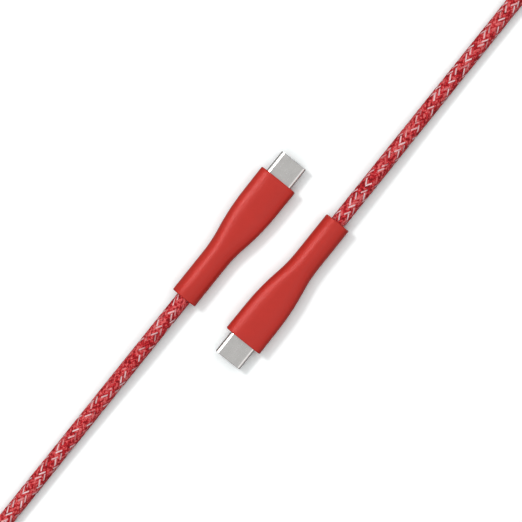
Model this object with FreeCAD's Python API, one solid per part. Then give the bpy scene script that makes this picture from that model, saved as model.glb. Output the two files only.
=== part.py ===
import FreeCAD, Part
import math
import os

# A charging cable with the same reversible plug on both ends of one braided cord.
# Millimetres. X and Y lie on the surface the cable rests on, and Z points up from it.
# The origin is the middle of the pair of plugs, on that surface.

V = FreeCAD.Vector

# How the two plugs lie: side by side, noses pointing opposite ways.
heading_deg = 51.27
axis_spacing = 19.75
nose_lead = 20.03

# Drawn steel shell of the plug nose.
shell_width = 8.25
shell_height = 2.40
shell_wall = 0.20
shell_exposed = 6.65
shell_buried = 5.60
shell_lip_cut = 0.12

# Running clearance round small nested pieces.
fit = 0.05

# Soft overmoulded boot: wide flat front, S-curved waist, slim rear.
boot_length = 41.0
boot_side_margin = 1.625
boot_rear_width = 7.6
boot_height = 6.4
boot_front_run = 10.8
boot_waist_run = 15.1
boot_edge_round = 2.9
boot_face_break = 0.35
boot_front_wall = 1.2
boot_skin = 0.6
boot_waist_bays = 3

# Stiff inner mould under the boot.
mould_rear = 22.0
mould_wall = 0.6

# Moulded contact housing inside the shell.
housing_recess = 0.40
housing_rear = 5.20
mouth_side_wall = 0.425
mouth_height = 1.00
mouth_depth = 6.20
mouth_front_cut = 1.55
mouth_front_cut_inset = 0.45

# Spring contacts, one strip each, on two rows.
contact_pitch = 0.50
contact_width = 0.25
contact_thickness = 0.12
contact_row_height = 0.66
contact_channel_top = 0.78
contact_bump_height = 0.30
contact_tip_height = 0.56
contact_arm_run = 3.4
contact_bump_run = 0.9
contact_tip_run = 0.7
contact_tail_run = 1.5
row_positions = 12
upper_pins = (1, 4, 5, 6, 7, 9, 12)
lower_pins = (1, 4, 5, 9, 12)

# Two-armed side latch, stamped from one sheet that lies between the contact rows.
latch_thickness = 0.40
latch_arm_width = 0.28
latch_bridge_run = 0.8
latch_bridge_from_rear = 0.6
latch_reach = 4.5
latch_hook_run = 0.6
latch_hook_depth = 0.28
latch_crotch_round = 0.27

# Ground springs, a thin leaf above and below the mouth, each with folded fingers.
leaf_thickness = 0.12
leaf_base_run = 0.55
leaf_fingers = 4
leaf_finger_width = 0.9
leaf_finger_height = 0.44

# Paddle card with its bypass capacitor.
card_gap = 0.30
card_length = 6.0
card_side_gap = 0.475
card_thickness = 0.80
card_corner_cut = 0.5
capacitor_length = 1.0
capacitor_width = 0.5
capacitor_height = 0.45
capacitor_from_rear = 2.4

# Two-piece shield can round the card, welded to the shell.
can_wall = 0.20
can_overlap = 1.2
can_body_run = 9.1
can_taper_run = 3.5
can_rear_width = 5.2
can_edge_cut = 0.5

# Cord: textile sleeve over a jacket over the wires.
cord_diameter = 4.3
cord_sides = 8
sleeve_thickness = 0.45
jacket_stand_in = 1.0

# Folded-back shield braid and the ferrule crimped over it.
braid_thickness = 0.12
ferrule_wall = 0.25
ferrule_length = 4.2
ferrule_collar_run = 0.8
ferrule_hex_drop = 0.12
ferrule_set_back = 0.1

# Wires between the jacket and the card.
power_wire_diameter = 1.1
power_core_diameter = 0.6
signal_wire_diameter = 0.7
signal_core_diameter = 0.36
wire_straight_run = 0.8
wire_sides = 6
core_strip_run = 1.2
core_gap = 0.3
power_bundle_offset = 0.75
power_bundle_height = 0.55
signal_bundle_pitch = 0.85
signal_bundle_height = 0.65
power_pad_offset = 2.2
signal_pad_pitch = 1.6

# Coil of the spare length: four and a quarter turns in two layers, wound in and out again.
coil_centre = V(94.0, -94.0, 0.0)
coil_outer_radius = 27.5
coil_turn_pitch = 5.05
coil_layer_pitch = 5.05
coil_turns_each_way = 0.875
coil_reversing_turns = 0.5
coil_start_deg = -90.0

# Cord route outside the coil. Distances along the straight ends come from the boots.
leave_level_run = 15.0
leave_droop_run = 27.0
leave_straight_run = 44.0
turn_a = ((-77.2, -88.8), (-74.1, -100.8), (-65.9, -110.0), (-53.1, -115.1), (-32.3, -118.8), (-1.7, -121.3), (35.4, -122.5))
enter_run = 19.0
descend_level_run = 14.0
descend_run = 27.0
turn_b = ((122.9, -12.6), (121.1, 23.4), (118.8, 48.3), (115.4, 64.0), (108.7, 75.1), (98.2, 81.4), (85.9, 82.2))

heading = math.radians(heading_deg)
plug_level = boot_height / 2
cord_radius = cord_diameter / 2
jacket_diameter = cord_diameter - 2 * sleeve_thickness
braid_diameter = jacket_diameter + 2 * braid_thickness
ferrule_diameter = braid_diameter + 2 * ferrule_wall


def box(x0, x1, y0, y1, z0, z1):
    return Part.makeBox(x1 - x0, y1 - y0, z1 - z0, V(x0, y0, z0))


def flat_bar(x0, x1, width, height):
    """A bar along X with a flat top and bottom and full round sides."""
    r = height / 2
    flat = width / 2 - r
    top = Part.LineSegment(V(x0, -flat, r), V(x0, flat, r))
    right = Part.Arc(V(x0, flat, r), V(x0, flat + r, 0), V(x0, flat, -r))
    bottom = Part.LineSegment(V(x0, flat, -r), V(x0, -flat, -r))
    left = Part.Arc(V(x0, -flat, -r), V(x0, -flat - r, 0), V(x0, -flat, r))
    outline = Part.Wire([edge.toShape() for edge in (top, right, bottom, left)])
    return Part.Face(outline).extrude(V(x1 - x0, 0, 0))


def arc_by_corner(start, corner, end):
    """The arc that is tangent to both equal legs of a corner."""
    middle = (start + end) * 0.5
    rise = (corner - middle).Length
    half_chord = (end - start).Length / 2
    sag = half_chord * math.tan(math.atan2(rise, half_chord) / 2)
    top = middle + (corner - middle) * (sag / rise)
    return Part.Arc(start, top, end)


def arc_radius(start, corner, end):
    rise = (corner - (start + end) * 0.5).Length
    half_chord = (end - start).Length / 2
    return half_chord / math.sin(math.atan2(rise, half_chord))


def rounded_path(points):
    """Straight runs between points, with each corner turned by an arc as large as its runs allow."""
    edges = []
    radii = []
    here = points[0]
    for before, corner, after in zip(points, points[1:], points[2:]):
        inward = (before - corner).normalize()
        onward = (after - corner).normalize()
        leg = 0.45 * min((before - corner).Length, (after - corner).Length)
        start = corner + inward * leg
        end = corner + onward * leg
        edges.append(Part.LineSegment(here, start))
        edges.append(arc_by_corner(start, corner, end))
        radii.append(arc_radius(start, corner, end))
        here = end
    edges.append(Part.LineSegment(here, points[-1]))
    return Part.Wire([edge.toShape() for edge in edges]), radii


def sweep(path, outline):
    return path.makePipeShell([outline], True, False)


def polygon_outline(centre, normal, up, sides, corner_radius):
    """A regular outline square to its path, with a flat side below."""
    side = normal.cross(up).normalize()
    corners = []
    for k in range(sides + 1):
        turn = math.pi * (2 * k + 1) / sides - math.pi / 2
        corners.append(centre + side * (corner_radius * math.cos(turn)) + up * (corner_radius * math.sin(turn)))
    return Part.makePolygon(corners)


def faceted_outline(centre, way, diameter, sides):
    """A faceted stand-in for a round section, with the round one's area."""
    corner = diameter / 2 * math.sqrt(2 * math.pi / sides / math.sin(2 * math.pi / sides))
    return polygon_outline(centre, way.normalize(), V(0, 0, 1), sides, corner)


def rod(x0, x1, diameter, sides):
    """A straight faceted bar along X."""
    return Part.Face(faceted_outline(V(x0, 0, 0), V(1, 0, 0), diameter, sides)).extrude(V(x1 - x0, 0, 0))


def tube(points, diameter, sides):
    path, radii = rounded_path(points)
    outline = faceted_outline(points[0], points[1] - points[0], diameter, sides)
    return sweep(path, outline), path.Length, radii


def bent_strip(points, thickness, width, y):
    """A flat strip folded along points in the XZ plane, mitred at its folds and centred on y."""
    line = [V(x, 0, z) for x, z in points]
    ways = [(after - before).normalize() for before, after in zip(line, line[1:])]
    upper = []
    lower = []
    for at, before, after in zip(line, ways[:1] + ways, ways + ways[-1:]):
        out = V(-before.z - after.z, 0, before.x + after.x).normalize()
        reach = thickness / 2 / out.dot(V(-before.z, 0, before.x))
        upper.append(at + out * reach)
        lower.append(at - out * reach)
    outline = Part.makePolygon(upper + lower[::-1] + upper[:1])
    strip = Part.Face(outline).extrude(V(0, width, 0))
    strip.translate(V(0, y - width / 2, 0))
    return strip


def edges_along(shape, test):
    return [edge for edge in shape.Edges if test(edge)]


def mirrored(shape):
    return shape.mirror(V(0, 0, 0), V(0, 0, 1))


# Plug, in its own frame: the nose points along +X, and X is 0 at the boot's front face.

shell_inner_width = shell_width - 2 * shell_wall
shell_inner_height = shell_height - 2 * shell_wall
housing_width = shell_inner_width - 2 * fit
housing_height = shell_inner_height - 2 * fit
housing_front = shell_exposed - housing_recess
mouth_width = housing_width - 2 * mouth_side_wall
mouth_front_cut_width = mouth_width - 2 * mouth_front_cut_inset
mouth_back = housing_front - mouth_depth
can_width = shell_width + 2 * (fit + can_wall)
card_width = can_width - 2 * (can_wall + card_side_gap)
boot_rear = -boot_length
boot_front_width = shell_width + 2 * boot_side_margin


def boot_stations(inset, front, rear):
    """Places along the boot and its half width there, drawn in by an even inset: straight, two tangent arcs, straight."""
    step = (boot_front_width - boot_rear_width) / 2
    radius = (boot_waist_run ** 2 + step ** 2) / (4 * step)
    bend = math.asin(boot_waist_run / (2 * radius))
    shoulder = -boot_front_run
    neck = shoulder - boot_waist_run
    wide = boot_front_width / 2
    slim = boot_rear_width / 2
    stations = [(front, wide - inset)]
    for k in range(boot_waist_bays + 1):
        turn = bend * k / boot_waist_bays
        bow = radius - inset
        stations.append((shoulder - bow * math.sin(turn), wide - radius + bow * math.cos(turn)))
    for k in range(boot_waist_bays - 1, -1, -1):
        turn = bend * k / boot_waist_bays
        bow = radius + inset
        stations.append((neck + bow * math.sin(turn), slim + radius - bow * math.cos(turn)))
    stations.append((rear, slim - inset))
    return stations


def rounded_section(x, wide, high, corner):
    """A rectangle with round corners, square to X."""
    w = wide - corner
    h = high - corner
    m = corner * math.sqrt(0.5)
    edges = [
        Part.LineSegment(V(x, -w, high), V(x, w, high)),
        Part.Arc(V(x, w, high), V(x, w + m, h + m), V(x, wide, h)),
        Part.LineSegment(V(x, wide, h), V(x, wide, -h)),
        Part.Arc(V(x, wide, -h), V(x, w + m, -h - m), V(x, w, -high)),
        Part.LineSegment(V(x, w, -high), V(x, -w, -high)),
        Part.Arc(V(x, -w, -high), V(x, -w - m, -h - m), V(x, -wide, -h)),
        Part.LineSegment(V(x, -wide, -h), V(x, -wide, h)),
        Part.Arc(V(x, -wide, h), V(x, -w - m, h + m), V(x, -w, high)),
    ]
    return Part.Wire([edge.toShape() for edge in edges])


def bevelled_section(x, wide, high, corner):
    """The same with flat corners that touch the round ones."""
    cut = corner * (2 - math.sqrt(2))
    w = wide - cut
    h = high - cut
    corners = [(w, high), (wide, h), (wide, -h), (w, -high), (-w, -high), (-wide, -h), (-wide, h), (-w, high)]
    return Part.makePolygon([V(x, y, z) for y, z in corners + corners[:1]])


def boot_form():
    """The boot from outside: long edges rounded, front face just broken, rear face cut off square."""
    high = boot_height / 2
    corner = min(boot_edge_round, 0.96 * high, 0.96 * boot_rear_width / 2)
    cut = boot_face_break
    stations = boot_stations(0, -cut, boot_rear)
    sections = [rounded_section(x, wide, high, corner) for x, wide in stations]
    front = rounded_section(0, stations[0][1] - cut, high - cut, corner - cut)
    return Part.makeLoft([front] + sections, True, True)


def mould_form():
    """The inner mould from outside: the boot's form drawn in by its skin."""
    high = boot_height / 2 - boot_skin
    corner = min(boot_edge_round - boot_skin, high, boot_rear_width / 2 - boot_skin)
    stations = boot_stations(boot_skin, -boot_front_wall, boot_rear)
    sections = [bevelled_section(x, wide, high, corner) for x, wide in stations]
    body = Part.makeLoft(sections, True, True)
    return body.common(box(-mould_rear, 0, -boot_front_width, boot_front_width, -boot_height, boot_height))


def end_edges(shape, x):
    return edges_along(shape, lambda e: abs(e.BoundBox.XMin - x) < 1e-6 and abs(e.BoundBox.XMax - x) < 1e-6)


def make_shell():
    body = flat_bar(-shell_buried, shell_exposed, shell_width, shell_height)
    body = body.makeChamfer(shell_lip_cut, end_edges(body, shell_exposed))
    bore = flat_bar(-shell_buried, shell_exposed, shell_inner_width, shell_inner_height)
    return body.cut(bore)


def pin_y(pin):
    return (pin - (row_positions + 1) / 2) * contact_pitch


def channel(pin, side):
    """The slot that a contact lies in, open to the mouth."""
    half = contact_width / 2 + fit
    y = pin_y(pin) * side
    front = housing_front - mouth_front_cut
    return box(-housing_rear, front, y - half, y + half, mouth_height / 2, contact_channel_top)


latch_outer = housing_width / 2 - mouth_side_wall / 4
latch_inner = latch_outer - latch_arm_width
latch_back = -housing_rear + latch_bridge_from_rear


def make_housing():
    body = flat_bar(-housing_rear, housing_front, housing_width, housing_height)
    half_mouth = mouth_width / 2
    mouth = box(mouth_back, housing_front, -half_mouth, half_mouth, -mouth_height / 2, mouth_height / 2)
    front_half = mouth_front_cut_width / 2
    cut_from = housing_front - mouth_front_cut
    front_cut = box(cut_from, housing_front, -front_half, front_half, -housing_height, housing_height)
    slot_half = latch_thickness / 2 + fit
    slot_side = latch_outer + fit
    bridge_front = latch_back + latch_bridge_run + latch_crotch_round + fit
    bridge_slot = box(-housing_rear, bridge_front, -slot_side, slot_side, -slot_half, slot_half)
    arm_front = latch_reach + fit
    right_slot = box(-housing_rear, arm_front, latch_inner - fit, slot_side, -slot_half, slot_half)
    left_slot = box(-housing_rear, arm_front, -slot_side, fit - latch_inner, -slot_half, slot_half)
    cuts = [mouth, front_cut, bridge_slot, right_slot, left_slot]
    cuts += [channel(pin, 1) for pin in upper_pins]
    cuts += [mirrored(channel(pin, -1)) for pin in lower_pins]
    return body.cut(cuts)


contact_front = latch_reach
contact_bump_x = contact_front - contact_tip_run
contact_arm_back = contact_bump_x - contact_bump_run - contact_arm_run
card_front = -housing_rear - card_gap
card_rear = card_front - card_length
tail_height = card_thickness / 2 + contact_thickness / 2
tail_front = card_front - 0.5 * contact_tail_run
tail_rear = tail_front - contact_tail_run


def make_contact(y):
    """Tail on the card, straight shank in the housing, bowed spring arm and turned-up tip."""
    points = [
        (tail_rear, tail_height),
        (tail_front, tail_height),
        (-housing_rear, contact_row_height),
        (contact_arm_back, contact_row_height),
        (contact_bump_x, contact_bump_height),
        (contact_front, contact_tip_height),
    ]
    return bent_strip(points, contact_thickness, contact_width, y)


def make_contacts(pins, side):
    return Part.makeCompound([make_contact(pin_y(pin) * side) for pin in pins])


def make_latch():
    """A flat fork: a bridge behind the mouth and one hooked arm down each side of it."""
    half = latch_thickness / 2
    hook_tip = latch_inner - latch_hook_depth
    hook_back = latch_reach - latch_hook_run
    bridge_front = latch_back + latch_bridge_run
    side = [
        (latch_back, latch_outer),
        (latch_reach - latch_hook_run / 2, latch_outer),
        (latch_reach, latch_inner),
        (latch_reach - latch_hook_run / 3, hook_tip),
        (hook_back, hook_tip),
        (hook_back - latch_hook_depth, latch_inner),
        (bridge_front, latch_inner),
    ]
    other = [(x, -y) for x, y in reversed(side)]
    corners = [V(x, y, -half) for x, y in side + other]
    fork = Part.Face(Part.makePolygon(corners + corners[:1])).extrude(V(0, 0, latch_thickness))
    crotch = [V(bridge_front, y, -half) for y in (latch_inner, -latch_inner)]

    def is_crotch(edge):
        at = edge.CenterOfMass
        upright = edge.BoundBox.ZLength > 0.9 * latch_thickness
        return upright and min((V(at.x, at.y, -half) - c).Length for c in crotch) < 1e-6

    return fork.makeFillet(latch_crotch_round, edges_along(fork, is_crotch))


def make_ground_spring():
    """A leaf against the shell's roof, with fingers folded back into the mouth."""
    roof = shell_inner_height / 2
    level = roof - leaf_thickness / 2
    leaf_half = mouth_front_cut_width / 2 - fit
    back = housing_front - mouth_front_cut + fit
    base = box(back, back + leaf_base_run, -leaf_half, leaf_half, roof - leaf_thickness, roof)
    fold = back + mouth_front_cut - 2 * leaf_thickness
    pitch = 2 * leaf_half / leaf_fingers
    fingers = []
    for k in range(leaf_fingers):
        y = (k + 0.5) * pitch - leaf_half
        points = [
            (back + leaf_base_run / 2, level),
            (fold - leaf_thickness, level),
            (fold, (level + leaf_finger_height) / 2),
            (back + leaf_base_run, leaf_finger_height),
        ]
        fingers.append(bent_strip(points, leaf_thickness, leaf_finger_width, y))
    return base.fuse(fingers).removeSplitter()


def make_card():
    half = card_width / 2
    cut = card_corner_cut
    level = -card_thickness / 2
    outline = [
        (card_front, half - cut),
        (card_front - cut, half),
        (card_rear, half),
        (card_rear, -half),
        (card_front - cut, -half),
        (card_front, cut - half),
    ]
    corners = [V(x, y, level) for x, y in outline]
    return Part.Face(Part.makePolygon(corners + corners[:1])).extrude(V(0, 0, card_thickness))


def make_capacitor():
    x = card_rear + capacitor_from_rear
    half = capacitor_width / 2
    level = card_thickness / 2
    return box(x, x + capacitor_length, -half, half, level, level + capacitor_height)


can_front = can_overlap - shell_buried
can_shoulder = can_front - can_body_run
can_rear = can_shoulder - can_taper_run
can_height = boot_height - 2 * (boot_skin + mould_wall)
jacket_front = can_rear + jacket_stand_in


def can_block(inset):
    """The can's outer form, or its room when drawn in by the wall: a box that tapers in plan to the rear."""
    slim_by = (can_width - can_rear_width) / 2
    slope = math.hypot(can_taper_run, slim_by)
    front = can_front - inset
    rear = can_rear + inset
    shoulder = can_shoulder + inset * (slope - can_taper_run) / slim_by
    wide = can_width / 2 - inset
    slim = wide - slim_by * (shoulder - rear) / can_taper_run
    height = can_height - 2 * inset
    outline = [(front, wide), (shoulder, wide), (rear, slim), (rear, -slim), (shoulder, -wide), (front, -wide)]
    corners = [V(x, y, -height / 2) for x, y in outline]
    block = Part.Face(Part.makePolygon(corners + corners[:1])).extrude(V(0, 0, height))
    return block.makeChamfer(can_edge_cut - inset / 2, block.Edges)


def make_can():
    """The upper half of the can: a tray with a mouth for the shell and a notch for the jacket."""
    shell_hole = flat_bar(-shell_buried, can_front + can_wall, shell_width, shell_height)
    jacket_hole = rod(can_rear - can_wall, jacket_front, jacket_diameter, cord_sides)
    body = can_block(0).cut([can_block(can_wall), shell_hole, jacket_hole])
    return body.common(box(can_rear - 1, can_front + 1, -can_width, can_width, 0, can_height))


ferrule_front = can_rear - ferrule_set_back
ferrule_rear = ferrule_front - ferrule_length


def ferrule_form():
    """A round collar, then the hexagon that the crimp leaves."""
    collar = rod(ferrule_front - ferrule_collar_run, ferrule_front, ferrule_diameter, cord_sides)
    crimp = rod(ferrule_rear, ferrule_front - ferrule_collar_run, ferrule_diameter - ferrule_hex_drop, 6)
    return collar.fuse(crimp)


def make_ferrule():
    return ferrule_form().cut(rod(ferrule_rear, ferrule_front, braid_diameter, cord_sides))


def make_shield_braid():
    return rod(ferrule_rear, ferrule_front, braid_diameter, cord_sides).cut(rod(ferrule_rear, ferrule_front, jacket_diameter, cord_sides))


def make_jacket_end():
    return rod(boot_rear, jacket_front, jacket_diameter, cord_sides)


def make_sleeve_end():
    return rod(boot_rear, -mould_rear, cord_diameter, cord_sides).cut(rod(boot_rear, -mould_rear, jacket_diameter, cord_sides))


def make_mould():
    hidden_shell = flat_bar(-shell_buried, 0, shell_width, shell_height)
    neck = rod(-mould_rear, jacket_front, jacket_diameter, cord_sides)
    return mould_form().cut([can_block(0), hidden_shell, neck, ferrule_form()])


def make_boot():
    nose_hole = flat_bar(-2 * boot_front_wall, boot_front_wall, shell_width, shell_height)
    cord_hole = rod(boot_rear, -mould_rear, cord_diameter, cord_sides)
    return boot_form().cut([mould_form(), nose_hole, cord_hole])


def make_wire(bundle, pad_y, side, diameter, core):
    """Insulated wire from the jacket to its pad, with a bare tinned end on the card."""
    pad_z = side * (card_thickness / 2 + core / 2)
    strip_end = card_rear - core_gap
    points = [
        V(jacket_front, bundle[0], bundle[1]),
        V(jacket_front + wire_straight_run, bundle[0], bundle[1]),
        V(strip_end - wire_straight_run, pad_y, pad_z),
        V(strip_end, pad_y, pad_z),
    ]
    insulated, length, radii = tube(points, diameter, wire_sides)
    bare = rod(0, core_gap + core_strip_run, core, wire_sides)
    bare.translate(points[-1])
    return insulated.fuse(bare)


def make_power_wire(side):
    bundle = (side * power_bundle_offset, power_bundle_height)
    return make_wire(bundle, side * power_pad_offset, 1, power_wire_diameter, power_core_diameter)


def make_signal_wire(place):
    bundle = (place * signal_bundle_pitch, -signal_bundle_height)
    return make_wire(bundle, place * signal_pad_pitch, -1, signal_wire_diameter, signal_core_diameter)


upper_spring = make_ground_spring()
upper_can = make_can()
plug_pieces = {
    "boot": make_boot(),
    "inner_mould": make_mould(),
    "shell": make_shell(),
    "contact_housing": make_housing(),
    "upper_contacts": make_contacts(upper_pins, 1),
    "lower_contacts": mirrored(make_contacts(lower_pins, -1)),
    "latch": make_latch(),
    "upper_ground_spring": upper_spring,
    "lower_ground_spring": mirrored(upper_spring),
    "paddle_card": make_card(),
    "bypass_capacitor": make_capacitor(),
    "upper_shield_can": upper_can,
    "lower_shield_can": mirrored(upper_can),
    "crimp_ferrule": make_ferrule(),
    "shield_braid": make_shield_braid(),
    "jacket_end": make_jacket_end(),
    "sleeve_end": make_sleeve_end(),
    "power_wire": make_power_wire(1),
    "ground_wire": make_power_wire(-1),
    "data_plus_wire": make_signal_wire(-1),
    "data_minus_wire": make_signal_wire(0),
    "control_wire": make_signal_wire(1),
}

# Both ends of the cable, turned about Z and set down on the surface.

ahead = V(math.cos(heading), math.sin(heading), 0)
beside = V(math.sin(heading), -math.cos(heading), 0)
face_a = ahead * nose_lead - beside * (axis_spacing / 2) + V(0, 0, plug_level)
face_b = ahead * -nose_lead + beside * (axis_spacing / 2) + V(0, 0, plug_level)
place_a = FreeCAD.Placement(face_a, FreeCAD.Rotation(V(0, 0, 1), heading_deg))
place_b = FreeCAD.Placement(face_b, FreeCAD.Rotation(V(0, 0, 1), heading_deg + 180))


def placed(shape, placement):
    moved = shape.copy()
    moved.Placement = placement.multiply(moved.Placement)
    return moved


nodes = {}
for name, piece in plug_pieces.items():
    nodes["plug_a_" + name] = placed(piece, place_a)
    nodes["plug_b_" + name] = placed(piece, place_b)

# Cord. It leaves boot A level, droops to the surface, goes round to the coil, and comes back to boot B.

exit_a = face_a - ahead * boot_length
exit_b = face_b + ahead * boot_length
floor_level = cord_radius
quarter = 0.25
all_turns = 2 * coil_turns_each_way + coil_reversing_turns
inner_radius = coil_outer_radius - coil_turn_pitch * coil_turns_each_way


def coil_point(turn):
    """The coil's centreline after so many turns: in, over, and out again."""
    past = turn - coil_turns_each_way
    share = min(max(past / coil_reversing_turns, 0.0), 1.0)
    if past <= 0:
        radius = coil_outer_radius - coil_turn_pitch * turn
    elif share < 1:
        radius = inner_radius - coil_turn_pitch * past * (1 - share)
    else:
        radius = inner_radius + coil_turn_pitch * (past - coil_reversing_turns)
    level = floor_level + coil_layer_pitch * share * share * (3 - 2 * share)
    angle = math.radians(coil_start_deg) + 2 * math.pi * turn
    return coil_centre + V(radius * math.cos(angle), radius * math.sin(angle), level)


def coil_heading(turn):
    step = 1e-5
    way = coil_point(turn + step) - coil_point(turn - step)
    if turn <= 0 or turn >= all_turns:
        way = coil_point(max(turn, 0) + step) - coil_point(max(turn, 0) - step)
    return way.normalize()


def biarc(start, start_way, end, end_way):
    """Two arcs that leave and arrive in the given directions."""
    across = end - start
    both = start_way + end_way
    cosine = start_way.dot(end_way)
    slack = 2 * (1 - cosine)
    leg = (math.sqrt(across.dot(both) ** 2 + slack * across.dot(across)) - across.dot(both)) / slack
    first_corner = start + start_way * leg
    second_corner = end - end_way * leg
    joint = (first_corner + second_corner) * 0.5
    return [arc_by_corner(start, first_corner, joint), arc_by_corner(joint, second_corner, end)]


stations = [quarter * k for k in range(int(round(all_turns / quarter)) + 1)]
coil_in_way = coil_heading(stations[0])
coil_out_way = coil_heading(stations[-1])
coil_start = coil_point(stations[0]) - coil_in_way * cord_diameter
coil_end = coil_point(stations[-1]) + coil_out_way * cord_diameter
coil_edges = [Part.LineSegment(coil_start, coil_point(stations[0]))]
for first, second in zip(stations, stations[1:]):
    coil_edges += biarc(coil_point(first), coil_heading(first), coil_point(second), coil_heading(second))
coil_edges.append(Part.LineSegment(coil_point(stations[-1]), coil_end))
coil_path = Part.Wire([edge.toShape() for edge in coil_edges])
coil_outline = faceted_outline(coil_start, coil_in_way, cord_diameter, cord_sides)
nodes["cord_coil"] = sweep(coil_path, coil_outline)

droop_a = exit_a - ahead * (leave_level_run + leave_droop_run)
corner_a = droop_a - ahead * leave_straight_run
route_a = [exit_a, exit_a - ahead * leave_level_run]
route_a += [V(p.x, p.y, floor_level) for p in (droop_a, corner_a)]
route_a += [V(x, y, floor_level) for x, y in turn_a]
route_a += [coil_start - coil_in_way * enter_run, coil_start]

droop_b = exit_b + ahead * (leave_level_run + leave_droop_run)
corner_b = droop_b + ahead * leave_straight_run
level_end = coil_end + coil_out_way * descend_level_run
down = level_end + coil_out_way * descend_run
route_b = [coil_end, level_end, V(down.x, down.y, floor_level)]
route_b += [V(x, y, floor_level) for x, y in turn_b]
route_b += [V(p.x, p.y, floor_level) for p in (corner_b, droop_b)]
route_b += [exit_b + ahead * leave_level_run, exit_b]

nodes["cord_stretch_a"], length_a, radii_a = tube(route_a, cord_diameter, cord_sides)
nodes["cord_stretch_b"], length_b, radii_b = tube(route_b, cord_diameter, cord_sides)

# What the cord measures, and how near the coil comes to itself.

round_area = math.pi * cord_radius ** 2
section_corner = max((vertex.Point - coil_start).Length for vertex in coil_outline.Vertexes)

print("stretch A", round(length_a, 1), "mm, arc radii", [round(r, 1) for r in radii_a])
print("stretch B", round(length_b, 1), "mm, arc radii", [round(r, 1) for r in radii_b])
print("coil", round(coil_path.Length, 1), "mm, radii", round(inner_radius, 2), "to", coil_outer_radius)
print("cord between the boots", round(length_a + length_b + coil_path.Length, 1), "mm")
for name, route_length in (("cord_stretch_a", length_a), ("cord_stretch_b", length_b), ("cord_coil", coil_path.Length)):
    print(name, "volume over section times length", round(nodes[name].Volume / (round_area * route_length), 4))
for name, route in (("A", route_a), ("B", route_b)):
    runs = [(q - p).Length for p, q in zip(route, route[1:])]
    bends = [math.degrees((q - p).getAngle(r - q)) for p, q, r in zip(route, route[1:], route[2:])]
    print("route", name, "runs", [round(r, 1) for r in runs], "turns", [round(b, 1) for b in bends])

samples_per_turn = 180
samples = [coil_point(k / samples_per_turn) for k in range(int(all_turns * samples_per_turn) + 1)]
nearest = 1e9
for i in range(len(samples)):
    for j in range(i + samples_per_turn // 2, len(samples)):
        nearest = min(nearest, (samples[j] - samples[i]).Length)
print("least gap of the coil to itself", round(nearest - 2 * section_corner, 3), "mm")

os.makedirs("parts", exist_ok=True)
for name, shape in nodes.items():
    assert shape.isValid() and all(solid.Volume > 0 for solid in shape.Solids), name
    shape.exportStep("parts/" + name + ".step")
print(len(nodes), "nodes", sum(len(shape.Solids) for shape in nodes.values()), "solids")
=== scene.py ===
import math

import bmesh
import bpy
import numpy as np
from mathutils import Matrix, Vector


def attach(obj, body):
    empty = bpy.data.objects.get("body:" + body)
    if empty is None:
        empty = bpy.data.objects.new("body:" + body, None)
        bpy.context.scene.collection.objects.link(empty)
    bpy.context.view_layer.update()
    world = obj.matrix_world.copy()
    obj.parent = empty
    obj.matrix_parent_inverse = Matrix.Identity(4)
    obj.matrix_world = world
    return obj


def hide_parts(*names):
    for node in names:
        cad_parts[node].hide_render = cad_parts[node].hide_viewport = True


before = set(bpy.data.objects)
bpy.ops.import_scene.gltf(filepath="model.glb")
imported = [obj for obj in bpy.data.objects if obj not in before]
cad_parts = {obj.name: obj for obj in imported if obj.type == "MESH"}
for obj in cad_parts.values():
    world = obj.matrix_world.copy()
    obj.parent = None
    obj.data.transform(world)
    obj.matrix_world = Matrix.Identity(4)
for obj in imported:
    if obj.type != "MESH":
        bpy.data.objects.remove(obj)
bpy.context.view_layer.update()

bl_info = {
    "name": "Braided charging cable",
    "version": (1, 0, 0),
    "blender": (4, 5, 0),
    "location": "View3D > Sidebar > Cable",
    "description": "Dresses a charging cable: braided cord, soft boots, plugs and their insides",
    "category": "Object",
}


# Sizes and places that the solids have too, in metres

HEADING = math.radians(51.27)  # of plug A's nose from X; plug B is turned half round
FACE_AHEAD = 0.02003  # from the middle of the pair to a boot's front face, along its nose
FACE_ASIDE = 0.009875  # from the middle of the pair to a plug's axis
SHELL_WIDTH = 0.00825
SHELL_HEIGHT = 0.00240
AXIS_LEVEL = 0.0032
CORD_LEVEL = 0.00215  # of the centreline where the cord lies on the surface
EXIT_A = (-0.020823, -0.010180, AXIS_LEVEL)
EXIT_B = (0.020823, 0.010180, AXIS_LEVEL)

# The cord's straight ends: distances from the boot
LEVEL_RUN = 0.015
DOWN_RUN = 0.042
STRAIGHT_A, STRAIGHT_B = 0.0742, 0.0737
BEND_RUN = 0.086

# The cord's bends outside the view: X and Y of the control points
BENDS_A = (
    (-0.0772, -0.0888), (-0.0741, -0.1008), (-0.0659, -0.1100), (-0.0531, -0.1151),
    (-0.0323, -0.1188), (-0.0017, -0.1213), (0.0354, -0.1225),
)
BENDS_B = (
    (0.1229, -0.0126), (0.1211, 0.0234), (0.1188, 0.0483), (0.1154, 0.0640),
    (0.1087, 0.0751), (0.0982, 0.0814), (0.0859, 0.0822),
)

# The coil of spare length
COIL_X, COIL_Y = 0.094, -0.094
COIL_RADIUS = 0.0275  # of the centreline where it starts
COIL_PITCH = 0.00505  # from turn to turn, and from the lower layer to the upper
COIL_EACH_WAY = 0.875  # turns inwards below, and as many outwards above
COIL_REVERSING = 0.5  # turns in which the cord climbs on to itself
COIL_TURNS = 2 * COIL_EACH_WAY + COIL_REVERSING
COIL_FROM = math.radians(-90)
COIL_POINTS = 24  # control points in a turn
COIL_LEAD = 0.0043  # straight cord at each end of it
COIL_ENTRY = 0.019  # straight cord before that lead
COIL_EXIT = 0.014  # straight and level cord after the other lead
COIL_DOWN = 0.041  # from that lead to the surface

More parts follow.
